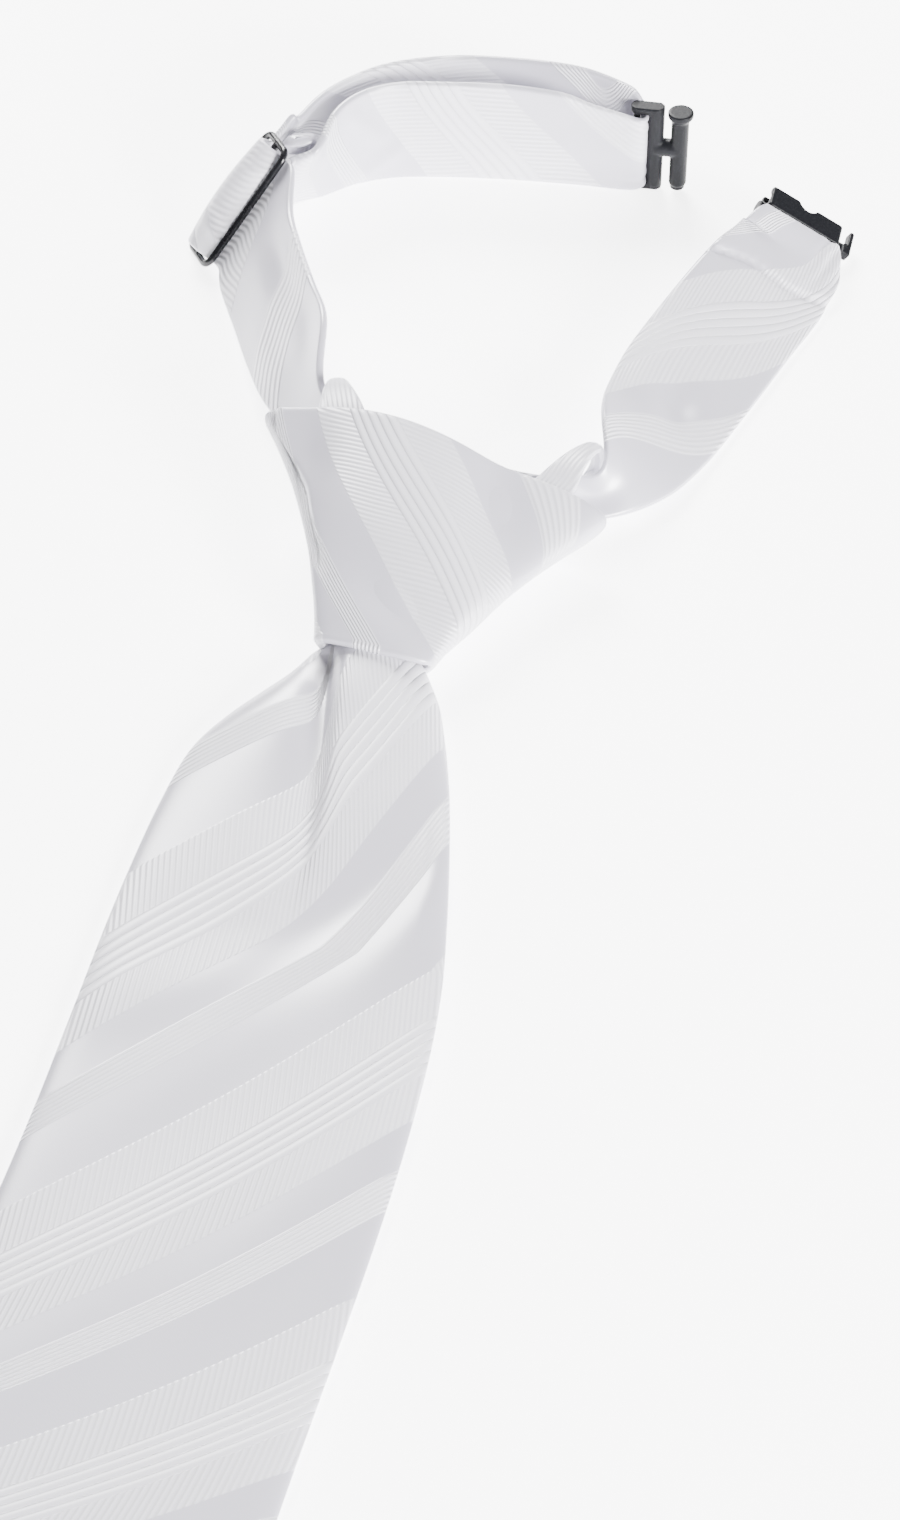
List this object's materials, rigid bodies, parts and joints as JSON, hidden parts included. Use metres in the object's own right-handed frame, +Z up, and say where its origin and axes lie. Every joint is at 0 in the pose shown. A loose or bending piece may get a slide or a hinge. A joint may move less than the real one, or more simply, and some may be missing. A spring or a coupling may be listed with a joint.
{
  "type": "pre-tied necktie",
  "caption": "Pre-tied necktie laid flat: pointed blade, tied knot, adjustable strap with wire slider and an open two-part snap clasp.",
  "frame": {"origin": "on the flat underside of the blade, on its centreline, 57 mm below the lower edge of the knot", "axes": "+Y from the blade towards the neck strap, +Z up from the surface the necktie lies on, +X to the right seen from above"},
  "size_m": [0.1429, 0.5907, 0.0284],
  "materials": {
    "silk": "white tone-on-tone striped satin weave",
    "slider_wire": "black glossy coated wire",
    "clasp_plastic": "dark grey moulded plastic"
  },
  "bodies": {
    "root": {"blade": "silk", "knot_wrap": "silk", "knot_left_turn": "silk", "knot_right_turn": "silk", "neck_strap_left": "silk", "neck_band_right": "silk", "slider": "slider_wire", "tbar_clasp": "clasp_plastic", "channel_clasp": "clasp_plastic"}
  },
  "joints": []
}
